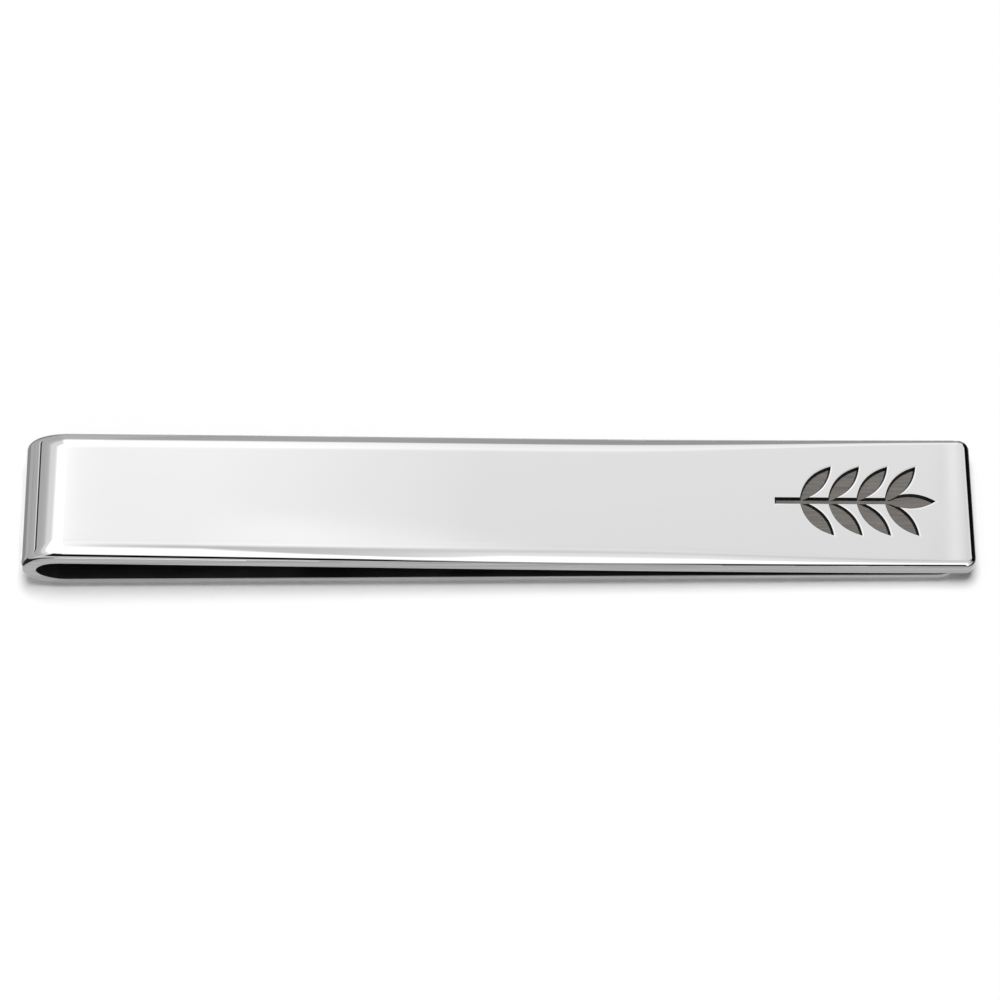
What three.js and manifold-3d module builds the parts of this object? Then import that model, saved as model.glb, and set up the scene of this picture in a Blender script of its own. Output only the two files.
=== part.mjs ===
// Slide-on tie bar: one polished steel strip folded in two, with an engraved sprig near its open end.
// Millimetres. X runs along the bar from the fold to the mouth, Y across it, Z up from the back leaf.
import * as THREE from 'three';
import { mergeVertices } from 'three/addons/utils/BufferGeometryUtils.js';
import Module from 'manifold-3d';

const wasm = await Module();
wasm.setup();

// Strip and fold
const LENGTH = 53.5; // outside of the fold to the tip of the bar
const FOLD_WIDTH = 8.05;
const TIP_WIDTH = 8.21; // the strip widens a little towards its tips
const THICKNESS = 0.96;
const FOLD_RADIUS = 1.895; // half the fold's height, outside
const FOLD_REACH = 2.4; // how far the fold runs out past the bar and the leaf
const CROWN_THINNING = 0.07; // the strip draws thinner at the crown of the fold
const CROWN_NARROWING = 0.06; // and narrower, on each side
const LEAF_SHORTFALL = 0.2; // the leaf stops short of the bar's tip
const LEAF_THINNING = 0.1; // the leaf tapers by this much towards its tip
const THIN_FROM = 12; // where along the leaf its taper starts
const MOUTH_GAP = 0.155; // between bar and leaf at the leaf's tip
const BOW_SHARE = 0.415; // how deep the bar bows, as a share of its height over the mouth

// Edges
const OUTER_EDGE = { reach: 1.2, drop: 0.55 }; // rounding across the outer face and down the side
const TIP_EDGE = { reach: 0.42, drop: 0.42 }; // the same at the bar's tip, where it is crisper
const CROWN_EDGE = { reach: 0.5, drop: 0.45 }; // and round the crown of the fold
const LEAF_EDGE = { reach: 1.3, drop: 0.8 }; // and under the leaf
const CROWN_FROM = THREE.MathUtils.degToRad(45); // turn of the fold by which its edges are that crisp
const CRISP_FROM = 4; // where along the bar its edges start to grow crisper
const EDGE_FULLNESS = 0.8; // 1 would make the rounding a plain ellipse
const SLOT_EDGE = 0.05; // easing of the edges that face the slot
const BAR_CORNER = 0.65; // corners of the bar's tip, seen from above
const LEAF_CORNER = 1.9; // corners of the leaf's tip, seen from above

// Gaps between the lengths of the strip
const SEAM = 0.05; // bar to fold, which move together
const FLEX_GAP = 0.3; // fold to leaf, room for the fold to turn

// Engraved sprig
const SPRIG_PLACE = 20.1; // its middle, along the bar
const SPRIG_LENGTH = 9.1;
const STEM_WIDTH = 0.42;
const STEM_REACH = 0.3; // how far the stem runs into the end leaflet, as a share of it
const PAIRS = 4;
const PAIR_PITCH = 1.6;
const LEAFLET_LENGTH = 2.9;
const LEAFLET_WIDTH = 0.95;
const LEAFLET_ANGLE = THREE.MathUtils.degToRad(50);
const ENGRAVING_DEPTH = 0.3;
const FILL_HEIGHT = 0.06;
const FILL_CLEARANCE = 0.04; // sides and underside of the fill to the engraved walls and floor
const CUTTER_RISE = 0.5; // how far the cutter stands above the face

// Facets
const EDGE_STEPS = 4;
const CORNER_STEPS = 5;
const FOLD_STEPS = 18;
const BAR_STEPS = 10;
const LEAFLET_STEPS = 5;

// Worked out from the sizes above
const FOLD_X = -LENGTH / 2 + FOLD_REACH; // axis of the fold
const BAR_TIP = LENGTH / 2;
const LEAF_TIP = BAR_TIP - LEAF_SHORTFALL;
const FLAT_RUN = LEAF_TIP - FOLD_X;
const MOUTH_HEIGHT = THICKNESS - LEAF_THINNING + MOUTH_GAP; // bar's slot face at the leaf's tip
const CLOSING = 2 * FOLD_RADIUS - THICKNESS - MOUTH_HEIGHT;

// Half the strip's width at a place along the bar or the leaf, which widens less and less towards the tip
function halfWidth(x) {
  const left = (BAR_TIP - x) / (BAR_TIP - FOLD_X);
  return THREE.MathUtils.lerp(TIP_WIDTH, FOLD_WIDTH, left ** 2) / 2;
}

// A rounding between two others
function edgeBetween(first, second, share) {
  return {
    reach: THREE.MathUtils.lerp(first.reach, second.reach, share),
    drop: THREE.MathUtils.lerp(first.drop, second.drop, share),
  };
}

// Rounding of the bar's outer edges at a place along it
function barEdge(x) {
  return edgeBetween(OUTER_EDGE, TIP_EDGE, THREE.MathUtils.smoothstep(x, CRISP_FROM, BAR_TIP));
}

// How much of the crown's shape the fold has taken on at an angle round it
function crownShare(angle) {
  const turned = Math.asin(Math.max(-Math.cos(angle), 0));
  return THREE.MathUtils.smoothstep(turned, 0, CROWN_FROM);
}

// Rounding of the fold's outer edges, and half its width, at an angle round it
function foldEdge(angle) {
  const end = Math.sin(angle) > 0 ? OUTER_EDGE : LEAF_EDGE;
  return edgeBetween(end, CROWN_EDGE, crownShare(angle));
}

function foldHalf(angle) {
  return FOLD_WIDTH / 2 - CROWN_NARROWING * crownShare(angle);
}

// Height of the bar's slot face above the table, and its slope, at a place along the bar
function slotHeight(x) {
  const back = (LEAF_TIP - x) / FLAT_RUN;
  return MOUTH_HEIGHT + CLOSING * back * (1 - BOW_SHARE * (1 - back) ** 2);
}

function barTilt(x) {
  const back = (LEAF_TIP - x) / FLAT_RUN;
  return Math.atan((CLOSING / FLAT_RUN) * (1 - BOW_SHARE * (1 - back) * (1 - 3 * back)));
}

const LEAF_END = 1.5 * Math.PI; // angle round the fold's axis where it runs into the flat leaf
const FOLD_END = Math.atan2(FOLD_RADIUS, FOLD_REACH * Math.tan(barTilt(FOLD_X))); // and into the tilted bar
const BAR_START = onFold(FOLD_END, 0)[0] + SEAM;

// Each stretch of strip turns a run along it and a depth from its slot face into X and Z
function onBar(x, depth) {
  const tilt = barTilt(x);
  return [x + depth * Math.sin(tilt), slotHeight(x) + depth * Math.cos(tilt)];
}

function onLeaf(x, depth) {
  const taper = Math.max((x - THIN_FROM) / (LEAF_TIP - THIN_FROM), 0);
  const wall = THICKNESS - LEAF_THINNING * taper;
  return [x, wall * (1 - depth / THICKNESS)];
}

function onFold(angle, depth) {
  const wall = THICKNESS - CROWN_THINNING * Math.cos(angle) ** 2;
  const along = Math.cos(angle);
  const up = Math.sin(angle);
  const out = new THREE.Vector2(along / FOLD_REACH, up / FOLD_RADIUS).normalize();
  const inward = wall * (1 - depth / THICKNESS);
  return [FOLD_X + FOLD_REACH * along - inward * out.x, FOLD_RADIUS * (1 + up) - inward * out.y];
}

// Inset from the strip's outline and depth from its slot face, at one step round its edge
function edgeAt(step, rounding) {
  if (step === 0) {
    return { inset: SLOT_EDGE, depth: 0 };
  }
  if (step === 1) {
    return { inset: 0, depth: SLOT_EDGE };
  }
  const turn = ((step - 2) / EDGE_STEPS) * (Math.PI / 2);
  return {
    inset: rounding.reach * (1 - Math.cos(turn) ** EDGE_FULLNESS),
    depth: THICKNESS - rounding.drop * (1 - Math.sin(turn) ** EDGE_FULLNESS),
  };
}

// The near half of the strip's outline at one step: along the runs, then round the tip's corner if it has one
function halfOutline({ runs, half, edge, tip }, step) {
  const points = runs.map((run) => {
    const { inset, depth } = edgeAt(step, edge(run));
    return { run, y: inset - half(run), depth };
  });
  if (tip) {
    const { inset, depth } = edgeAt(step, edge(tip.at));
    const start = tip.at - tip.corner;
    const radius = tip.corner - inset;
    for (let i = 1; i <= CORNER_STEPS; i += 1) {
      const turn = (i / CORNER_STEPS) * (Math.PI / 2);
      const y = tip.corner - half(start) - radius * Math.cos(turn);
      points.push({ run: start + radius * Math.sin(turn), y, depth });
    }
  }
  return points;
}

// A closed length of strip: one outline for each step of the edge, walls between them, and two capped faces
function stripGeometry(strip) {
  const positions = [];
  const triangles = [];
  const outlines = EDGE_STEPS + 3;
  const half = halfOutline(strip, 0).length;
  const loop = 2 * half;
  for (let step = 0; step < outlines; step += 1) {
    const near = halfOutline(strip, step);
    const far = near.map((point) => ({ ...point, y: -point.y })).reverse();
    for (const { run, y, depth } of [...near, ...far]) {
      const [x, z] = strip.place(run, depth);
      positions.push(x, y, z);
    }
  }
  const quad = (a, b, c, d) => triangles.push(a, b, c, a, c, d);
  for (let step = 0; step < outlines - 1; step += 1) {
    const low = step * loop;
    for (let i = 0; i < loop; i += 1) {
      const next = (i + 1) % loop;
      quad(low + i, low + next, low + loop + next, low + loop + i);
    }
  }
  const last = (outlines - 1) * loop;
  for (let i = 0; i < half - 1; i += 1) {
    const across = loop - 1 - i;
    quad(across, across - 1, i + 1, i);
    quad(last + i, last + i + 1, last + across - 1, last + across);
  }
  return facingOut(positions, triangles);
}

// Turns every triangle over where the enclosed volume comes out negative
function facingOut(positions, triangles) {
  const corner = (i) => new THREE.Vector3().fromArray(positions, 3 * triangles[i]);
  let volume = 0;
  for (let i = 0; i < triangles.length; i += 3) {
    volume += corner(i).dot(corner(i + 1).cross(corner(i + 2)));
  }
  const geometry = new THREE.BufferGeometry();
  geometry.setAttribute('position', new THREE.Float32BufferAttribute(positions, 3));
  geometry.setIndex(volume < 0 ? triangles.reverse() : triangles);
  return geometry;
}

function spread(from, to, steps) {
  return Array.from({ length: steps + 1 }, (_, i) => from + ((to - from) * i) / steps);
}

// Solids for cutting and joining
function solidOf(geometry) {
  const bare = geometry.clone();
  bare.deleteAttribute('normal');
  bare.deleteAttribute('uv');
  const merged = mergeVertices(bare);
  return new wasm.Manifold(new wasm.Mesh({
    numProp: 3,
    vertProperties: new Float32Array(merged.attributes.position.array),
    triVerts: new Uint32Array(merged.index.array),
  }));
}

function geometryOf(solid) {
  const { vertProperties, triVerts } = solid.getMesh();
  const geometry = new THREE.BufferGeometry();
  geometry.setAttribute('position', new THREE.BufferAttribute(vertProperties, 3));
  geometry.setIndex(new THREE.BufferAttribute(triVerts, 1));
  return geometry;
}

// A pointed leaflet from its foot at the origin along X, drawn in by a clearance all round
function leafletShape(clearance) {
  const foot = clearance;
  const point = LEAFLET_LENGTH - 2 * clearance;
  const middle = (foot + point) / 2;
  const bulge = LEAFLET_WIDTH - 2 * clearance;
  const shape = new THREE.Shape();
  shape.moveTo(foot, 0);
  shape.quadraticCurveTo(middle, -bulge, point, 0);
  shape.quadraticCurveTo(middle, bulge, foot, 0);
  return shape;
}

function stemShape(clearance) {
  const start = -SPRIG_LENGTH / 2 + clearance;
  const end = SPRIG_LENGTH / 2 - LEAFLET_LENGTH * (1 - STEM_REACH);
  const half = STEM_WIDTH / 2 - clearance;
  return new THREE.Shape([
    new THREE.Vector2(start, -half),
    new THREE.Vector2(end, -half),
    new THREE.Vector2(end, half),
    new THREE.Vector2(start, half),
  ]);
}

// The sprig as one solid between two heights over the bar's face, in the bar's frame
function sprigSolid(low, high, clearance) {
  const settings = { depth: high - low, bevelEnabled: false, curveSegments: LEAFLET_STEPS };
  const leaflet = new THREE.ExtrudeGeometry(leafletShape(clearance), settings);
  let sprig = solidOf(new THREE.ExtrudeGeometry(stemShape(clearance), settings));
  const grow = (x, angle) => {
    const placed = leaflet.clone().rotateZ(angle).translate(x, 0, 0);
    sprig = sprig.add(solidOf(placed));
  };
  grow(SPRIG_LENGTH / 2 - LEAFLET_LENGTH, 0);
  for (let pair = 0; pair < PAIRS; pair += 1) {
    const x = SPRIG_LENGTH / 2 - LEAFLET_LENGTH - pair * PAIR_PITCH;
    grow(x, LEAFLET_ANGLE);
    grow(x, -LEAFLET_ANGLE);
  }
  const [x, z] = onBar(SPRIG_PLACE, THICKNESS);
  const onFace = geometryOf(sprig)
    .translate(0, 0, low)
    .rotateY(barTilt(SPRIG_PLACE))
    .translate(x, 0, z);
  return solidOf(onFace);
}

// Finishes
const polishedSteel = new THREE.MeshStandardMaterial({ color: 0xd9dadb, roughness: 0.08, metalness: 1 });
const darkFill = new THREE.MeshStandardMaterial({ color: 0x55524e, roughness: 0.6, metalness: 0 });

// Parts
function frontBar() {
  const plain = stripGeometry({
    runs: spread(BAR_START, BAR_TIP - BAR_CORNER, BAR_STEPS),
    place: onBar,
    half: halfWidth,
    edge: barEdge,
    tip: { at: BAR_TIP, corner: BAR_CORNER },
  });
  const cutter = sprigSolid(-ENGRAVING_DEPTH, CUTTER_RISE, 0);
  return geometryOf(solidOf(plain).subtract(cutter));
}

function springFold() {
  return stripGeometry({
    runs: spread(LEAF_END, FOLD_END, FOLD_STEPS),
    place: onFold,
    half: foldHalf,
    edge: foldEdge,
  });
}

function backLeaf() {
  return stripGeometry({
    runs: [FOLD_X + FLEX_GAP, THIN_FROM, LEAF_TIP - LEAF_CORNER],
    place: onLeaf,
    half: halfWidth,
    edge: () => LEAF_EDGE,
    tip: { at: LEAF_TIP, corner: LEAF_CORNER },
  });
}

function engravingFill() {
  const floor = FILL_CLEARANCE - ENGRAVING_DEPTH;
  return geometryOf(sprigSolid(floor, floor + FILL_HEIGHT, FILL_CLEARANCE));
}

function named(name, geometry, material) {
  const mesh = new THREE.Mesh(geometry, material);
  mesh.name = name;
  return mesh;
}

const tieBar = new THREE.Group();
tieBar.add(
  named('front_bar', frontBar(), polishedSteel),
  named('spring_fold', springFold(), polishedSteel),
  named('back_leaf', backLeaf(), polishedSteel),
  named('engraving_fill', engravingFill(), darkFill),
);

export default tieBar;
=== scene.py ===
"""Slide-on tie bar: a mirror-polished steel strip folded in two, lying on its leaf on a white table."""
import math

import bpy
from mathutils import Matrix, Vector
from mathutils.kdtree import KDTree


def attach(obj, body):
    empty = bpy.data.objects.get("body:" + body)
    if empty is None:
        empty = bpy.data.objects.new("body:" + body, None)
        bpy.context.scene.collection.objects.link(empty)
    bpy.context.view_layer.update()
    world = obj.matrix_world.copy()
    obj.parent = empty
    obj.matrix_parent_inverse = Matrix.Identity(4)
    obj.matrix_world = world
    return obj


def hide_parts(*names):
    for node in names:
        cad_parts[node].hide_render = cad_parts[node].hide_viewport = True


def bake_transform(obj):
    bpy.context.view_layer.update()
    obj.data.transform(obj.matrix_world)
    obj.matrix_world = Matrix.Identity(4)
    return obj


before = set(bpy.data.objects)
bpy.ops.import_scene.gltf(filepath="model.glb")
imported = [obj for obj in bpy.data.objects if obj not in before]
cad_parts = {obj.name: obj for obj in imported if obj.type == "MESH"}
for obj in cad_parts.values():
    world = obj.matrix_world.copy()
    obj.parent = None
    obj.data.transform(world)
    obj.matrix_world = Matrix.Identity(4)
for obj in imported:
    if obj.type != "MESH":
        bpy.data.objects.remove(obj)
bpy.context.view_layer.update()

# Strip and fold, in metres
MM = 0.001
LENGTH = 53.5 * MM
FOLD_WIDTH = 8.05 * MM
TIP_WIDTH = 8.21 * MM
THICKNESS = 0.96 * MM
FOLD_RADIUS = 1.895 * MM  # half its height
FOLD_REACH = 2.4 * MM
CROWN_THINNING = 0.07 * MM
CROWN_NARROWING = 0.06 * MM
LEAF_SHORTFALL = 0.2 * MM
LEAF_THINNING = 0.1 * MM  # at its tip
THIN_FROM = 12 * MM
MOUTH_GAP = 0.155 * MM
BOW_SHARE = 0.415
WORN_FROM = 24.7 * MM  # polishing has turned the bar down a trace from here to its tip
WORN_TILT = 0.012
OUTER_EDGE = (1.2 * MM, 0.55 * MM)  # rounding across the outer face and down the side
TIP_EDGE = (0.42 * MM, 0.42 * MM)
CROWN_EDGE = (0.5 * MM, 0.45 * MM)
LEAF_EDGE = (1.3 * MM, 0.8 * MM)
CROWN_FROM = math.radians(45)
CRISP_FROM = 4 * MM
EDGE_FULLNESS = 0.8
SLOT_EDGE = 0.05 * MM
BAR_CORNER = 0.65 * MM
LEAF_CORNER = 1.9 * MM

# Engraved sprig
SPRIG_PLACE = 20.1 * MM
SPRIG_LENGTH = 9.1 * MM
STEM_WIDTH = 0.42 * MM
STEM_REACH = 0.3  # share of the end leaflet's length
PAIRS = 4
PAIR_PITCH = 1.6 * MM
LEAFLET_LENGTH = 2.9 * MM
LEAFLET_WIDTH = 0.95 * MM
LEAFLET_ANGLE = math.radians(50)
ENGRAVING_DEPTH = 0.3 * MM
FILL_DEPTH = 0.2 * MM  # from the bar's face down to the dark fill
FILL_FOOT = 0.95  # share of the engraving's depth that the fill reaches down to
WALL_DRAFT = 0.15 * MM  # how far the engraved walls lean in at their foot
LIP_WIDTH = 0.07 * MM  # polished slope round the engraving
LIP_DEPTH = 0.005 * MM
CUTTER_RISE = 0.4 * MM

# Smoothness of the meshes
EDGE_STEPS = 32
WORN_STEPS = 6
SLOT_STEPS = 3
CORNER_STEPS = 12
FOLD_STEPS = 72
BAR_STEPS = 24
LEAFLET_STEPS = 32
SEAM_TOLERANCE = 1e-7
FACE_FLATNESS = math.cos(math.radians(2))  # anything steeper on the face is the lip

# Share of the normal that points sideways where the brushed edges start; their steel is darkened with
# painted shade, as if they mirrored a shadowed floor
NEAR_BRUSHED_SHADE = (0.93, 0.85)  # along the bar's near edge, left and right
NEAR_TURNS = (-17 * MM, -10 * MM)  # where the left one passes into the right one
FAR_BRUSHED_SHADE = 0.5
CROWN_BRUSHED_SHADE = (0.7, 0.2)  # near and far
LEAF_BRUSHED_SHADE = 0.6

# Finishes, with noises counted per metre along X, Y and Z
NOISE_MIDDLE = (0.3, 0.7)  # where most of a noise lies
CLOUD_SCALE = (320, 420, 420)
SWELL_SCALE = (190, 260, 260)
STEEL_BLUE = 1.007  # blue of the steel against its red and green
FILL_TONES = ((0.115, 0.108, 0.1), (0.185, 0.175, 0.163))
FILL_GLOSS = (0.45, 0.75)
FILL_GRAIN = (14000, 14000, 14000)
FILL_LINES = (500, 12000, 12000)
FILL_RELIEF = 6e-6
PAPER_TONES = (0.895, 0.905)
PAPER_FIBRES = (1500, 1500, 1500)
PAPER_ROUGHNESS = 0.95
PAPER_LIFT = 0.05

# Camera
VIEW_ELEVATION = math.radians(61)
VIEW_ROLL = math.radians(-0.42)
VIEW_DISTANCE = 241.05 * MM
VIEW_TARGET = Vector((0.114, 0, 2.54)) * MM
VIEW_LENS = 154.28  # in millimetres, as is the sensor
SENSOR_WIDTH = 36
CLIP_START = 0.01

# Table, lamp and cards
TABLE_RADIUS = 1.5
TABLE_STEPS = 64
TABLE_DROP = 5e-6  # keeps it clear of the leaf's underside
KEY_HEIGHT = 0.5
KEY_LEAN = math.radians(2)  # towards the back
KEY_SIZE = (0.24, 0.32)
KEY_POWER = 2.3
CARD_RISE = 2e-5
CARDS = {  # tone, and reach along X and Y in millimetres
    "card_left": (0.45, (-400, -34), (-4.2, 200)),
    "card_near_left": (0.28, (-34, -28.9), (-4.2, 200)),
    "card_corner": (0.02, (-400, -28.9), (-400, -4.2)),
    "card_right": (0.02, (29, 400), (-400, 200)),
}

# Brightness of the tent by elevation in degrees, on each side
UPRIGHT = (0, 90)
STUDIO = {
    "back": [(0, 0.5), (34, 0.52), (37, 0.56), (41, 1.35), (56, 1.5), (59, 1.29), (61, 1.222),
             (65, 1.2), (75, 1.4), (90, 1.5)],
    "front": [(0, 0.7), (15, 0.7), (18, 0.004), (45, 0.004), (49, 1.0), (53, 1.5), (90, 1.5)],
    "paper": [(0, 0.8), (42, 0.8), (49, 1.2), (53, 1.5), (90, 1.5)],
    "slit": [(0, 0.45), (38, 0.38), (42.5, 1.45), (90, 1.5)],
    "left": [(0, 0.52), (15, 0.54), (22.8, 0.56), (26, 0.536), (31, 0.54), (35.5, 0.58), (38, 0.6),
             (40.5, 0.69), (43.2, 0.86), (45.5, 0.935), (49.5, 0.93), (51.3, 1.02), (52.8, 1.22),
             (54, 1.45), (90, 1.5)],
    "right": [(0, 0.004), (49, 0.004), (51, 1.0), (62, 1.0), (90, 1.5)],
}
LEFT_SEAM = [(15.8, 1.0), (17.6, 1.0), (18.6, 0.02), (21.6, 0.02)]  # dark, with a light edge
STUDIO_LEVEL = 0.9  # as the metal mirrors it
FILL_SHARE = 0.25  # of the tent's light on what isn't metal, which the lamp lights
# Where the sides pass into each other, as shares of the way to the front, back, left or right
FRONT_STARTS = (-0.3, 0.3)
FRONT_ENDS = (0.55, 0.68)  # to either side, where the dark front passes into plain paper
LEFT_STARTS = (0.12, 0.32)
LEFT_FROM = (-0.75, -0.45)  # the way back
SEAM_STARTS = (0.25, 0.42)
SEAM_ENDS = (0.56, 0.66)
RIGHT_STARTS = (0.42, 0.55)
RIGHT_FROM = (-0.35, -0.05)
# Tones across the tent, by the way right
WAY_RIGHT = (-0.05, 0.16)  # stretch that they cover
BACK_TONE = [(-0.05, 1.2), (-0.0392, 1.13), (-0.0384, 1.1), (-0.0373, 1.048), (-0.0344, 1.005),
             (-0.0288, 0.985), (0.002, 0.985), (0.0191, 0.95), (0.0657, 0.83), (0.1367, 0.8),
             (0.16, 0.8)]
# A narrow light band, which the tip mirrors
TIP_STRETCH = (0.14, 0.16)
TIP_TONE = [(0.1405, 1.0), (0.1412, 0.95), (0.1421, 0.95), (0.1431, 0.975), (0.1443, 1.01),
            (0.1464, 1.085), (0.1482, 1.1), (0.1504, 1.065), (0.152, 1.035), (0.1538, 0.985),
            (0.1556, 0.93), (0.159, 0.87)]
GLOW_PLACE = [(-0.003, 0.0), (0.026, 1.0), (0.056, 1.0), (0.08, 0.0)]
GLOW_FROM = (61.05, 61.45)  # degrees up
GLOW = 0.12
SLIT_PLACE = [(0.0292, 0.0), (0.0546, 1.0), (0.0756, 1.0), (0.0976, 0.0)]  # light through the front
FRONT_SLANT = 137  # degrees by which the front's tones come lower for a way right of 1
SLANT_START = -0.06  # left of it they stay at one height
# Grey gap overhead: its front edge, as the way back, and its depth
GAP_FRONT = [(-0.05, 0.13), (-0.024, 0.13), (0.0029, 0.12), (0.0283, -0.17), (0.052, -0.42),
             (0.0632, -0.33), (0.074, -0.13), (0.0934, -0.16), (0.1113, -0.2), (0.1272, -0.4),
             (0.1408, -0.42), (0.16, -0.42)]
GAP_DEPTH = [(-0.04, 0.0), (-0.024, 0.36), (-0.005, 0.52), (0.0288, 0.52), (0.0525, 0.42),
             (0.0736, 0.28), (0.111, 0.25), (0.1265, 0.3), (0.14, 0.4), (0.16, 0.4)]
GAP_SOFTNESS = (-0.1, 0.1)  # of its front edge
GAP_ENDS = (0.2, 0.38)

# Worked out from the sizes above
FOLD_X = -LENGTH / 2 + FOLD_REACH
BAR_TIP = LENGTH / 2
LEAF_TIP = BAR_TIP - LEAF_SHORTFALL
FLAT_RUN = LEAF_TIP - FOLD_X
MOUTH_HEIGHT = THICKNESS - LEAF_THINNING + MOUTH_GAP
CLOSING = 2 * FOLD_RADIUS - THICKNESS - MOUTH_HEIGHT
QUARTER = math.pi / 2


# Shape of the strip
def slot_height(x):
    """Height of the bar's slot face above the table."""
    back = (LEAF_TIP - x) / FLAT_RUN
    return MOUTH_HEIGHT + CLOSING * back * (1 - BOW_SHARE * (1 - back) ** 2)


def bar_tilt(x):
    """Slope of the bowed bar, a trace more where its tip is worn."""
    back = (LEAF_TIP - x) / FLAT_RUN
    bowed = math.atan(CLOSING / FLAT_RUN * (1 - BOW_SHARE * (1 - back) * (1 - 3 * back)))
    worn = max((x - WORN_FROM) / (BAR_TIP - WORN_FROM), 0)
    return bowed + WORN_TILT * worn ** 2


def half_width(x):
    left = (BAR_TIP - x) / (BAR_TIP - FOLD_X)
    return (TIP_WIDTH + (FOLD_WIDTH - TIP_WIDTH) * left ** 2) / 2


# Each stretch gives the foot of its section on the slot face, the way along it, the way out and its wall
def on_bar(x):
    tilt = bar_tilt(x)
    along = Vector((math.cos(tilt), 0, -math.sin(tilt)))
    out = Vector((math.sin(tilt), 0, math.cos(tilt)))
    return Vector((x, 0, slot_height(x))), along, out, THICKNESS


def on_leaf(x):
    wall = THICKNESS - LEAF_THINNING * max((x - THIN_FROM) / (LEAF_TIP - THIN_FROM), 0)
    return Vector((x, 0, wall)), Vector((1, 0, 0)), Vector((0, 0, -1)), wall


def on_fold(angle):
    wall = THICKNESS - CROWN_THINNING * math.cos(angle) ** 2
    face = Vector((FOLD_X + FOLD_REACH * math.cos(angle), 0, FOLD_RADIUS * (1 + math.sin(angle))))
    out = Vector((math.cos(angle) / FOLD_REACH, 0, math.sin(angle) / FOLD_RADIUS)).normalized()
    return face - out * wall, Vector((out.z, 0, -out.x)), out, wall


LEAF_END = 3 * QUARTER  # angle round the fold's axis where it runs into the flat leaf
FOLD_END = math.atan2(FOLD_RADIUS, FOLD_REACH * math.tan(bar_tilt(FOLD_X)))  # and into the tilted bar
BAR_START = on_fold(FOLD_END)[0].x


def spread(start, end, steps):
    return [start + (end - start) * i / steps for i in range(steps + 1)]


def eased(share):
    share = min(max(share, 0), 1)
    return share * share * (3 - 2 * share)


def edge_between(first, second, share):
    return tuple(a + (b - a) * share for a, b in zip(first, second))


def bar_edge(x):
    """Rounding of the bar's outer edges, crisper towards the tip."""
    return edge_between(OUTER_EDGE, TIP_EDGE, eased((x - CRISP_FROM) / (BAR_TIP - CRISP_FROM)))


def crown_share(angle):
    """How much of the crown's shape the fold has taken on."""
    return eased(math.asin(max(-math.cos(angle), 0)) / CROWN_FROM)


def fold_edge(angle):
    """Rounding of the fold's outer edges, crisper round its crown."""
    end = OUTER_EDGE if math.sin(angle) > 0 else LEAF_EDGE
    return edge_between(end, CROWN_EDGE, crown_share(angle))


def fold_half(angle):
    return FOLD_WIDTH / 2 - CROWN_NARROWING * crown_share(angle)


def leaf_edge(x):
    return LEAF_EDGE


# Turns of the edge: minus a quarter at the slot face, 0 on the side, a quarter at the outer face
EDGE_TURNS = ([(turn, True) for turn in spread(-QUARTER, 0, SLOT_STEPS)]
              + [(turn, False) for turn in spread(0, QUARTER, EDGE_STEPS)])


def edge_place(turn, slot_side, rounding):
    """Inset from the side and depth from the slot face."""
    if slot_side:
        return SLOT_EDGE * (1 - math.cos(turn)), SLOT_EDGE * (1 + math.sin(turn))
    reach, drop = rounding
    inset = reach * (1 - math.cos(turn) ** EDGE_FULLNESS)
    return inset, THICKNESS - drop * (1 - math.sin(turn) ** EDGE_FULLNESS)


def edge_lean(turn, slot_side, rounding):
    """Sideways and outward shares of the edge's normal."""
    if slot_side:
        return math.cos(turn), math.sin(turn)
    reach, drop = rounding
    sideways = drop * math.cos(turn) ** (2 - EDGE_FULLNESS)
    outward = reach * math.sin(turn) ** (2 - EDGE_FULLNESS)
    length = math.hypot(sideways, outward)
    return sideways / length, outward / length


def near_outline(runs, half, edge, tip, turn, slot_side):
    """Run, Y, depth, sideways direction and lean along the near edge and round the tip's corner."""
    points = []
    for run in runs:
        inset, depth = edge_place(turn, slot_side, edge(run))
        lean = edge_lean(turn, slot_side, edge(run))
        points.append((run, inset - half(run), depth, (0.0, -1.0), lean))
    if tip:
        at, corner = tip
        inset, depth = edge_place(turn, slot_side, edge(at))
        lean = edge_lean(turn, slot_side, edge(at))
        start, radius = at - corner, corner - inset
        for bend in spread(0, QUARTER, CORNER_STEPS)[1:]:
            ahead, across = math.sin(bend), -math.cos(bend)
            y = corner - half(start) + radius * across
            points.append((start + radius * ahead, y, depth, (ahead, across), lean))
    return points


def strip_rings(place, runs, half, edge, tip):
    """One closed ring of places, normals and sideways shares for each turn of the edge."""
    rings = []
    for turn, slot_side in EDGE_TURNS:
        near = near_outline(runs, half, edge, tip, turn, slot_side)
        far = [(run, -y, depth, (ahead, -across), lean)
               for run, y, depth, (ahead, across), lean in reversed(near)]
        ring = []
        for run, y, depth, (ahead, across), (sideways, outward) in near + far:
            foot, along, out, wall = place(run)
            spot = foot + out * (depth * wall / THICKNESS) + Vector((0, y, 0))
            normal = (along * ahead + Vector((0, across, 0))) * sideways + out * outward
            ring.append((spot, normal.normalized(), sideways))
        rings.append(ring)
    return rings


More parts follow.
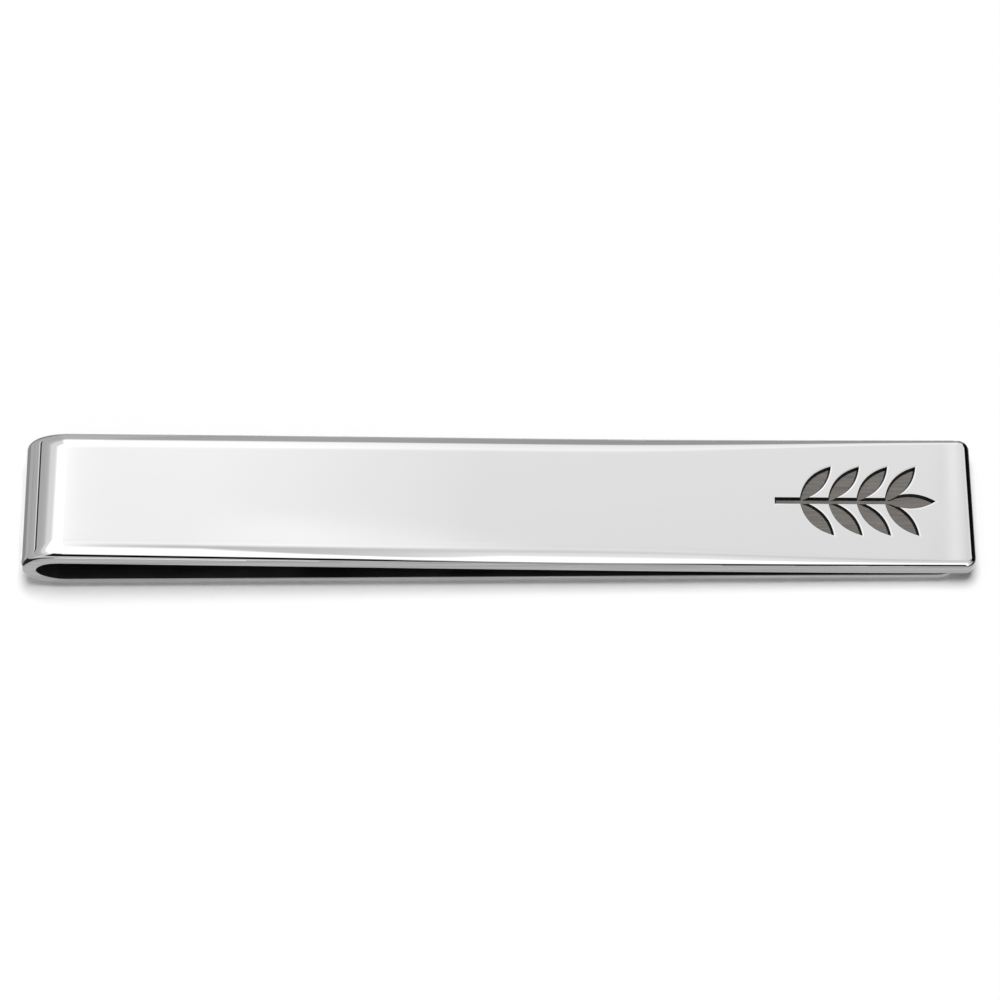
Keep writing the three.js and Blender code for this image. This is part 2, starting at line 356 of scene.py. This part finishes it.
def strip_faces(rings, open_tip, brushed_shade):
    """Faces as lists of (ring, point), each with its finish and whether it is a cut end. The edge finish
    and the slot finish are darkened with painted shade.
    """
    loop = len(rings[0])
    half = loop // 2
    ends = {loop - 1} if open_tip else {loop - 1, half - 1}
    faces = []
    for k in range(len(rings) - 1):
        for i in range(loop):
            j = (i + 1) % loop
            # Brushed faces take the edge steel, darkened with painted shade
            brushed_shaded = rings[k][i][2] + rings[k + 1][i][2] > 2 * brushed_shade(rings[k][i][0])
            finish_and_shade = "edge" if brushed_shaded or EDGE_TURNS[k][1] else "polished"
            faces.append(([(k, i), (k, j), (k + 1, j), (k + 1, i)], finish_and_shade, i in ends))
    last = len(rings) - 1
    for i in range(half - 1):
        across = loop - 1 - i
        faces.append(([(0, across), (0, across - 1), (0, i + 1), (0, i)], "slot", False))
        faces.append(([(last, i), (last, i + 1), (last, across - 1), (last, across)], "polished", False))
    return faces


# Finishes of the strip; the edge steel's darkness and the nearly black slot steel are painted shade
FINISHES_AND_SHADES = ("polished", "edge", "slot")


# Where the bar's brushed edges start, whose darker steel is painted shade
def bar_brushed_shade(spot):
    if spot.y > 0 and spot.x < BAR_TIP - BAR_CORNER:
        return FAR_BRUSHED_SHADE
    left, right = NEAR_BRUSHED_SHADE
    start, end = NEAR_TURNS
    return left + (right - left) * eased((spot.x - start) / (end - start))


# Where the leaf's brushed edges start, whose darker steel is painted shade
def leaf_brushed_shade(spot):
    return LEAF_BRUSHED_SHADE


def fold_brushed_shade(spot):
    """Runs from the leaf's brushed edge over the crown's to the bar's; all of them are darkened with
    painted shade.
    """
    end = bar_brushed_shade(spot) if spot.z > FOLD_RADIUS else LEAF_BRUSHED_SHADE
    crown = CROWN_BRUSHED_SHADE[spot.y > 0]
    return end + (crown - end) * eased((FOLD_X - spot.x) / FOLD_REACH)


def enclosed_volume(spots, faces):
    """Six times the volume inside, below 0 where the faces look inwards."""
    total = 0.0
    for face in faces:
        for b, c in zip(face[1:], face[2:]):
            total += spots[face[0]].dot(spots[b].cross(spots[c]))
    return total


def set_normals(mesh, normals):
    mesh.polygons.foreach_set("use_smooth", [True] * len(mesh.polygons))
    mesh.normals_split_custom_set(normals)


def strip_mesh(name, place, runs, half, edge, brushed_shade, tip=None):
    """A closed length of strip whose corner normals are those of the true rounded surface."""
    rings = strip_rings(place, runs, half, edge, tip)
    faces = strip_faces(rings, tip is not None, brushed_shade)
    loop = len(rings[0])
    spots = [spot for ring in rings for spot, _, _ in ring]
    corners = [[k * loop + i for k, i in face] for face, _, _ in faces]
    if enclosed_volume(spots, corners) < 0:
        corners = [face[::-1] for face in corners]
    mesh = bpy.data.meshes.new(name)
    mesh.from_pydata(spots, [], corners)
    mesh.update()
    smooth = [normal for ring in rings for _, normal, _ in ring]
    normals = []
    for polygon, (_, finish_and_shade, cut_end) in zip(mesh.polygons, faces):
        polygon.material_index = FINISHES_AND_SHADES.index(finish_and_shade)
        for vertex in polygon.vertices:
            normals.append(polygon.normal.copy() if cut_end else smooth[vertex])
    set_normals(mesh, normals)
    return mesh


def piece(name, mesh, materials):
    for material in materials:
        if material.name not in mesh.materials:
            mesh.materials.append(material)
    obj = bpy.data.objects.new(name, mesh)
    bpy.context.scene.collection.objects.link(obj)
    return obj


# Shape of the sprig
def leaflet_outline(clearance):
    """A pointed leaflet from its foot along X, between two parabolas, drawn in by a clearance."""
    foot, point = clearance, LEAFLET_LENGTH - 2 * clearance
    bulge = LEAFLET_WIDTH - 2 * clearance
    near = [(foot + (point - foot) * t, -2 * bulge * t * (1 - t)) for t in spread(0, 1, LEAFLET_STEPS)]
    far = [(x, -y) for x, y in near[-2:0:-1]]
    return near + far


def stem_outline(clearance):
    start = -SPRIG_LENGTH / 2 + clearance
    end = SPRIG_LENGTH / 2 - LEAFLET_LENGTH * (1 - STEM_REACH)
    half = STEM_WIDTH / 2 - clearance
    return [(start, -half), (end, -half), (end, half), (start, half)]


# Height over the bar's face and clearance of the cut, from its foot up through the lip
CUT_LEVELS = ((-ENGRAVING_DEPTH, WALL_DRAFT), (-LIP_DEPTH, 0.0), (LIP_DEPTH, -2 * LIP_WIDTH),
              (CUTTER_RISE, -2 * LIP_WIDTH))


def over_face(x, angle, u, v, height):
    """A place over the bar's face, for a growth that starts at x and leans by an angle."""
    run = SPRIG_PLACE + x + u * math.cos(angle) - v * math.sin(angle)
    foot, _, out, _ = on_bar(run)
    return foot + out * (THICKNESS + height) + Vector((0, u * math.sin(angle) + v * math.cos(angle), 0))


def sprig_cutter(wall, lip):
    """Leaflets and stem as overlapping cutting bodies, with the walls' steel, darkened with painted
    shade, below the lip's.
    """
    end_leaflet = SPRIG_LENGTH / 2 - LEAFLET_LENGTH
    growths = [(stem_outline, 0.0, 0.0), (leaflet_outline, end_leaflet, 0.0)]
    for pair in range(PAIRS):
        x = end_leaflet - pair * PAIR_PITCH
        growths += [(leaflet_outline, x, LEAFLET_ANGLE), (leaflet_outline, x, -LEAFLET_ANGLE)]
    spots, faces, shades_and_finishes = [], [], []
    for outline, x, angle in growths:
        first = len(spots)
        for height, clearance in CUT_LEVELS:
            ring = outline(clearance)
            spots += [over_face(x, angle, u, v, height) for u, v in ring]
        count = len(ring)
        for k in range(len(CUT_LEVELS) - 1):
            low = first + k * count
            for i in range(count):
                j = (i + 1) % count
                faces.append([low + i, low + j, low + count + j, low + count + i])
                shades_and_finishes.append(min(k, 1))
        faces.append([first + i for i in reversed(range(count))])
        faces.append([len(spots) - count + i for i in range(count)])
        shades_and_finishes += [0, 1]
    mesh = bpy.data.meshes.new("sprig_cutter")
    mesh.from_pydata(spots, [], faces)
    mesh.polygons.foreach_set("material_index", shades_and_finishes)
    return piece("sprig_cutter", mesh, [wall, lip])


def slab_mesh():
    """A plate under the engraving, between the fill's surface and just above the engraved floor."""
    foot, _, out, _ = on_bar(SPRIG_PLACE)
    seat = Matrix.Translation(foot + out * THICKNESS) @ Matrix.Rotation(bar_tilt(SPRIG_PLACE), 4, "Y")
    length, width = SPRIG_LENGTH, FOLD_WIDTH / 2
    spots = [seat @ Vector((u * length, v * width, w))
             for w in (-FILL_FOOT * ENGRAVING_DEPTH, -FILL_DEPTH) for u in (-1, 1) for v in (-1, 1)]
    faces = [(0, 1, 3, 2), (4, 6, 7, 5), (0, 2, 6, 4), (1, 5, 7, 3), (0, 4, 5, 1), (2, 3, 7, 6)]
    mesh = bpy.data.meshes.new("fill_slab")
    mesh.from_pydata(spots, [], faces)
    return mesh


def cut(obj, cutter, operation):
    """The object's mesh after an exact Boolean with a cutter that may cross itself."""
    boolean = obj.modifiers.new("cut", "BOOLEAN")
    boolean.object = cutter
    boolean.operation = operation
    boolean.solver = "EXACT"
    boolean.use_self = True
    boolean.material_mode = "TRANSFER"
    mesh = bpy.data.meshes.new_from_object(obj.evaluated_get(bpy.context.evaluated_depsgraph_get()))
    obj.modifiers.remove(boolean)
    return mesh


def restore_normals(mesh, plain, wall_index):
    """Gives a cut bar the plain bar's normals, its face's normal round the cut, and flat walls."""
    known = KDTree(len(plain.loops))
    plain_normals = [Vector(corner.vector) for corner in plain.corner_normals]
    for loop in plain.loops:
        known.insert(plain.vertices[loop.vertex_index].co, loop.index)
    known.balance()
    normals = []
    for polygon in mesh.polygons:
        places = [mesh.vertices[vertex].co for vertex in polygon.vertices]
        found = [[plain_normals[i] for _, i, _ in known.find_range(co, SEAM_TOLERANCE)] for co in places]
        sloped = polygon.normal.dot(on_bar(polygon.center.x)[2]) < FACE_FLATNESS
        carved = polygon.material_index == wall_index or (sloped and not any(found))
        for co, near in zip(places, found):
            if carved:
                normals.append(polygon.normal.copy())
            elif near:
                normals.append(max(near, key=polygon.normal.dot))
            else:
                normals.append(on_bar(co.x)[2])
    set_normals(mesh, normals)


# Shader nodes
def math_node(tree, operation, *sources):
    node = tree.nodes.new("ShaderNodeMath")
    node.operation = operation
    for socket, source in zip(node.inputs, sources):
        if isinstance(source, (int, float)):
            socket.default_value = source
        else:
            tree.links.new(source, socket)
    return node.outputs[0]


def times(tree, first, second):
    return math_node(tree, "MULTIPLY", first, second)


def rest_of(tree, share):
    """What a share leaves of 1."""
    return math_node(tree, "SUBTRACT", 1.0, share)


def map_range(tree, source, low, high):
    node = tree.nodes.new("ShaderNodeMapRange")
    node.inputs["From Min"].default_value = low
    node.inputs["From Max"].default_value = high
    tree.links.new(source, node.inputs["Value"])
    return node


def step_between(tree, source, low, high):
    """Rises smoothly from 0 to 1 over a range of the source."""
    node = map_range(tree, source, low, high)
    node.interpolation_type = "SMOOTHSTEP"
    return node.outputs["Result"]


def ramp(tree, source, stops):
    """A colour that runs straight between stops over the source's 0 to 1."""
    node = tree.nodes.new("ShaderNodeValToRGB")
    elements = node.color_ramp.elements
    while len(elements) < len(stops):
        elements.new(1.0)
    for element, (place, colour) in zip(elements, stops):
        element.position = place
        element.color = (*colour, 1)
    tree.links.new(source, node.inputs["Fac"])
    return node.outputs["Color"]


def curve(tree, source, stops, low, high):
    """A value that runs straight between stops over a range of the source."""
    share = map_range(tree, source, low, high).outputs["Result"]
    return ramp(tree, share, [((place - low) / (high - low), (level,) * 3) for place, level in stops])


def mixed(tree, share, first, second):
    """A mix of two colours, which have sockets 6, 7 and 2 on a mix node."""
    node = tree.nodes.new("ShaderNodeMix")
    node.data_type = "RGBA"
    tree.links.new(share, node.inputs[0])
    tree.links.new(first, node.inputs[6])
    tree.links.new(second, node.inputs[7])
    return node.outputs[2]


def noise(tree, scale, detail=2.0, roughness=0.5):
    """A noise over the piece's own coordinates, with a count per metre along each axis."""
    coordinates = tree.nodes.new("ShaderNodeTexCoord")
    mapping = tree.nodes.new("ShaderNodeMapping")
    mapping.inputs["Scale"].default_value = scale
    texture = tree.nodes.new("ShaderNodeTexNoise")
    texture.inputs["Scale"].default_value = 1.0
    texture.inputs["Detail"].default_value = detail
    texture.inputs["Roughness"].default_value = roughness
    tree.links.new(coordinates.outputs["Object"], mapping.inputs["Vector"])
    tree.links.new(mapping.outputs["Vector"], texture.inputs["Vector"])
    return texture.outputs["Fac"]


def spread_value(tree, source, low, high):
    """Maps the middle of a noise onto a range."""
    node = map_range(tree, source, *NOISE_MIDDLE)
    node.inputs["To Min"].default_value = low
    node.inputs["To Max"].default_value = high
    return node.outputs["Result"]


def spread_colour(tree, source, low, high):
    """Maps the middle of a noise onto the colours between two."""
    return ramp(tree, source, list(zip(NOISE_MIDDLE, (low, high))))


def bump(tree, source, height, below=None):
    """A bump of a real height in metres, laid over another one if given."""
    node = tree.nodes.new("ShaderNodeBump")
    node.inputs["Strength"].default_value = 1.0
    node.inputs["Distance"].default_value = height
    tree.links.new(source, node.inputs["Height"])
    if below:
        tree.links.new(below, node.inputs["Normal"])
    return node.outputs["Normal"]


# Materials
def new_material(name):
    material = bpy.data.materials.new(name)
    material.use_nodes = True
    tree = material.node_tree
    return material, tree, tree.nodes["Principled BSDF"]


def steel(name, tint, gloss, line_scale, line_height, swell_height):
    """Steel tinted along the lines of its finishing wheel, with a cloudy gloss and a slight swell."""
    material, tree, shader = new_material(name)
    shader.inputs["Metallic"].default_value = 1.0
    cloud = noise(tree, CLOUD_SCALE, detail=3)
    lines = noise(tree, line_scale, detail=3, roughness=0.6)
    swell = noise(tree, SWELL_SCALE, detail=1)
    colours = [(level, level, STEEL_BLUE * level) for level in tint]
    tree.links.new(spread_colour(tree, lines, *colours), shader.inputs["Base Color"])
    tree.links.new(spread_value(tree, cloud, *gloss), shader.inputs["Roughness"])
    swollen = bump(tree, swell, swell_height)
    tree.links.new(bump(tree, lines, line_height, swollen), shader.inputs["Normal"])
    return material


def polished_steel():
    return steel("polished_steel", tint=(0.796, 0.804), gloss=(0.02, 0.04),
                 line_scale=(150, 16000, 16000), line_height=1e-8, swell_height=6e-7)


# Brushed edges: coarser lines and a duller gloss, with a dark tint that is painted shade, as if the
# sides mirrored a shadowed floor
def shaded_edge_steel():
    return steel("shaded_edge_steel", tint=(0.3, 0.46), gloss=(0.12, 0.24),
                 line_scale=(90, 9000, 9000), line_height=3e-7, swell_height=2e-6)


# Nearly black steel on the slot's faces: painted shade in the narrow slot between bar and leaf
def shaded_slot_steel():
    return steel("shaded_slot_steel", tint=(0.05, 0.09), gloss=(0.4, 0.55),
                 line_scale=(120, 12000, 12000), line_height=3e-7, swell_height=1e-6)


# Nearly black steel on the engraving's walls: painted shade in the cut
def shaded_engraved_wall():
    return steel("shaded_engraved_wall", tint=(0.04, 0.08), gloss=(0.3, 0.45),
                 line_scale=(9000, 9000, 9000), line_height=3e-7, swell_height=1e-6)


def dark_fill():
    """Dull dark grey with a grain and the fine lengthwise lines of the engraving tool."""
    material, tree, shader = new_material("dark_fill")
    grain = noise(tree, FILL_GRAIN, detail=4, roughness=0.6)
    lines = noise(tree, FILL_LINES)
    tree.links.new(spread_colour(tree, lines, *FILL_TONES), shader.inputs["Base Color"])
    tree.links.new(spread_value(tree, grain, *FILL_GLOSS), shader.inputs["Roughness"])
    lined = bump(tree, lines, FILL_RELIEF)
    tree.links.new(bump(tree, grain, FILL_RELIEF, lined), shader.inputs["Normal"])
    return material


def table_white():
    """White paper, lifted a little where it is seen so that it is as white as the tent round it."""
    material, tree, shader = new_material("table_white")
    fibre = noise(tree, PAPER_FIBRES, detail=3)
    tones = [(level, level, level) for level in PAPER_TONES]
    tree.links.new(spread_colour(tree, fibre, *tones), shader.inputs["Base Color"])
    shader.inputs["Roughness"].default_value = PAPER_ROUGHNESS
    shader.inputs["Specular IOR Level"].default_value = 0.0
    shader.inputs["Emission Color"].default_value = (1, 1, 1, 1)
    path = tree.nodes.new("ShaderNodeLightPath").outputs
    seen = math_node(tree, "MAXIMUM", path["Is Camera Ray"], path["Is Glossy Ray"])
    seen = math_node(tree, "MAXIMUM", seen, path["Is Transmission Ray"])
    tree.links.new(times(tree, seen, PAPER_LIFT), shader.inputs["Emission Strength"])
    return material


def card(name, level):
    material, _, shader = new_material(name)
    shader.inputs["Base Color"].default_value = (level, level, level, 1)
    shader.inputs["Roughness"].default_value = 1.0
    shader.inputs["Specular IOR Level"].default_value = 0.0
    return material


# Pieces
def make_bar(strip, wall, cutter):
    """The bar, with the sprig engraved near its tip."""
    runs = spread(BAR_START, WORN_FROM, BAR_STEPS)
    runs += spread(WORN_FROM, BAR_TIP - BAR_CORNER, WORN_STEPS)[1:]
    plain = strip_mesh("bar_plain", on_bar, runs, half_width, bar_edge, bar_brushed_shade,
                       (BAR_TIP, BAR_CORNER))
    uncut = piece("bar_uncut", plain, strip)
    engraved = cut(uncut, cutter, "DIFFERENCE")
    restore_normals(engraved, plain, engraved.materials.find(wall.name))
    bpy.data.objects.remove(uncut)
    bar = piece("bar_polished", engraved, strip + [wall])
    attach(bar, "bar")
    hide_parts("front_bar")


def make_fill(cutter):
    """The dark floor of the engraving."""
    slab = piece("fill_slab", slab_mesh(), [dark_fill()])
    fill = piece("engraving_floor", cut(slab, cutter, "INTERSECT"), list(slab.data.materials))
    bpy.data.objects.remove(slab)
    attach(fill, "bar")
    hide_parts("engraving_fill")


def make_fold(strip):
    """The springy bend between the bar and the leaf."""
    angles = spread(LEAF_END, FOLD_END, FOLD_STEPS)
    mesh = strip_mesh("fold", on_fold, angles, fold_half, fold_edge, fold_brushed_shade)
    fold = piece("fold_polished", mesh, strip)
    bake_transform(fold)
    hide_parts("spring_fold")


def make_leaf(strip):
    """The flat leaf that goes behind the tie."""
    runs = spread(FOLD_X, LEAF_TIP - LEAF_CORNER, BAR_STEPS)
    mesh = strip_mesh("leaf", on_leaf, runs, half_width, leaf_edge, leaf_brushed_shade,
                      (LEAF_TIP, LEAF_CORNER))
    leaf = piece("leaf_polished", mesh, strip)
    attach(leaf, "leaf")
    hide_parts("back_leaf")


def make_tie_bar():
    strip = [polished_steel(), shaded_edge_steel(), shaded_slot_steel()]  # in the order of the finish list; the edge and slot steels carry painted shade
    wall = shaded_engraved_wall()
    cutter = sprig_cutter(wall, strip[0])
    make_bar(strip, wall, cutter)
    make_fill(cutter)
    bpy.data.objects.remove(cutter)
    make_fold(strip)
    make_leaf(strip)


# Stage
def make_table():
    turns = spread(0, 2 * math.pi, TABLE_STEPS)[:-1]
    rim = [(TABLE_RADIUS * math.cos(t), TABLE_RADIUS * math.sin(t), -TABLE_DROP) for t in turns]
    mesh = bpy.data.meshes.new("table")
    mesh.from_pydata(rim, [], [range(TABLE_STEPS)])
    piece("table", mesh, [table_white()])


def make_camera():
    back = Vector((0, -math.cos(VIEW_ELEVATION), math.sin(VIEW_ELEVATION)))
    right = Matrix.Rotation(VIEW_ROLL, 3, back) @ Vector((1, 0, 0))
    up = back.cross(right)
    data = bpy.data.cameras.new("camera")
    data.sensor_width = SENSOR_WIDTH
    data.lens = VIEW_LENS
    data.clip_start = CLIP_START
    camera = bpy.data.objects.new("camera", data)
    place = Matrix.Translation(VIEW_TARGET + back * VIEW_DISTANCE)
    camera.matrix_world = place @ Matrix((right, up, back)).transposed().to_4x4()
    bpy.context.scene.collection.objects.link(camera)
    bpy.context.scene.camera = camera


def tent_back(tree, x, elevation):
    """The bright back, with its tones across, the light band for the tip and a glow."""
    glow = times(tree, curve(tree, x, GLOW_PLACE, *WAY_RIGHT), step_between(tree, elevation, *GLOW_FROM))
    tone = times(tree, curve(tree, x, BACK_TONE, *WAY_RIGHT), curve(tree, x, TIP_TONE, *TIP_STRETCH))
    back = times(tree, curve(tree, elevation, STUDIO["back"], *UPRIGHT), tone)
    return times(tree, back, math_node(tree, "ADD", 1.0, times(tree, glow, GLOW)))


def tent_front(tree, x, side, elevation):
    """The dark low front, with a lighter slit and plain paper to either side."""
    slant = times(tree, math_node(tree, "MAXIMUM", x, SLANT_START), FRONT_SLANT)
    slanted = math_node(tree, "ADD", elevation, slant)
    front = mixed(tree, curve(tree, x, SLIT_PLACE, *WAY_RIGHT),
                  curve(tree, slanted, STUDIO["front"], *UPRIGHT),
                  curve(tree, slanted, STUDIO["slit"], *UPRIGHT))
    aside = step_between(tree, math_node(tree, "ABSOLUTE", side), *FRONT_ENDS)
    return mixed(tree, aside, front, curve(tree, elevation, STUDIO["paper"], *UPRIGHT))


def tent_left(tree, depth, elevation):
    """The grey left side, with a thin dark seam along part of it."""
    seam = times(tree, step_between(tree, depth, *SEAM_STARTS),
                 rest_of(tree, step_between(tree, depth, *SEAM_ENDS)))
    return mixed(tree, seam, curve(tree, elevation, STUDIO["left"], *UPRIGHT),
                 curve(tree, elevation, sorted(STUDIO["left"] + LEFT_SEAM), *UPRIGHT))


def overhead_gap(tree, x, y):
    """Shade of the grey gap between the softboxes overhead, which has an uneven front edge."""
    # Both are raised by 1, because a ramp's levels start at 0
    edge = curve(tree, x, [(place, 1 + front) for place, front in GAP_FRONT], *WAY_RIGHT)
    behind = math_node(tree, "SUBTRACT", math_node(tree, "ADD", y, 1.0), edge)
    ends = rest_of(tree, step_between(tree, y, *GAP_ENDS))
    shape = times(tree, step_between(tree, behind, *GAP_SOFTNESS), ends)
    return times(tree, shape, curve(tree, x, GAP_DEPTH, *WAY_RIGHT))


def tent_level(tree, x, y):
    """Strength of the tent's light, less in the gap overhead and on what isn't metal."""
    matt = tree.nodes.new("ShaderNodeLightPath").outputs["Is Diffuse Ray"]
    share = rest_of(tree, times(tree, matt, 1 - FILL_SHARE))
    level = times(tree, rest_of(tree, overhead_gap(tree, x, y)), STUDIO_LEVEL)
    return times(tree, level, share)


def make_world():
    """A white tent round the table, with a dark low front, a grey left side and a dark right side."""
    world = bpy.data.worlds.new("studio")
    world.use_nodes = True
    bpy.context.scene.world = world
    tree = world.node_tree
    coordinates = tree.nodes.new("ShaderNodeTexCoord")
    split = tree.nodes.new("ShaderNodeSeparateXYZ")
    tree.links.new(coordinates.outputs["Generated"], split.inputs[0])
    x, y, z = split.outputs
    elevation = math_node(tree, "DEGREES", math_node(tree, "ARCSINE", z))
    reach = math_node(tree, "SQRT", math_node(tree, "ADD", times(tree, x, x), times(tree, y, y)))
    side = math_node(tree, "DIVIDE", x, reach)
    depth = math_node(tree, "DIVIDE", y, reach)

    front = step_between(tree, times(tree, depth, -1.0), *FRONT_STARTS)
    left = times(tree, step_between(tree, times(tree, side, -1.0), *LEFT_STARTS),
                 step_between(tree, depth, *LEFT_FROM))
    right = times(tree, step_between(tree, side, *RIGHT_STARTS), step_between(tree, depth, *RIGHT_FROM))
    sky = mixed(tree, front, tent_back(tree, x, elevation), tent_front(tree, x, side, elevation))
    sky = mixed(tree, left, sky, tent_left(tree, depth, elevation))
    sky = mixed(tree, right, sky, curve(tree, elevation, STUDIO["right"], *UPRIGHT))
    background = tree.nodes["Background"]
    tree.links.new(sky, background.inputs["Color"])
    tree.links.new(tent_level(tree, x, y), background.inputs["Strength"])


def make_key():
    """A soft lamp overhead that gives the table its light; the metal mirrors only the tent."""
    data = bpy.data.lights.new("key", "AREA")
    data.shape = "ELLIPSE"
    data.size, data.size_y = KEY_SIZE
    data.energy = KEY_POWER
    towards = Vector((0, math.sin(KEY_LEAN), math.cos(KEY_LEAN)))
    key = bpy.data.objects.new("key", data)
    place = Matrix.Translation(towards * KEY_HEIGHT)
    key.matrix_world = place @ towards.to_track_quat("Z", "Y").to_matrix().to_4x4()
    key.visible_camera = False
    key.visible_glossy = False
    bpy.context.scene.collection.objects.link(key)


def make_cards():
    """Two grey cards and two black ones on the table, out of the picture, that the metal mirrors."""
    for name, (level, (left, right), (near, far)) in CARDS.items():
        corners = ((left, near), (right, near), (right, far), (left, far))
        mesh = bpy.data.meshes.new(name)
        mesh.from_pydata([(x * MM, y * MM, CARD_RISE) for x, y in corners], [], [(0, 1, 2, 3)])
        obj = piece(name, mesh, [card(name, level)])
        obj.visible_camera = False
        obj.visible_diffuse = False
        obj.visible_shadow = False


bpy.context.scene.view_settings.view_transform = "Standard"
make_camera()
make_tie_bar()
make_table()
make_world()
make_key()
make_cards()
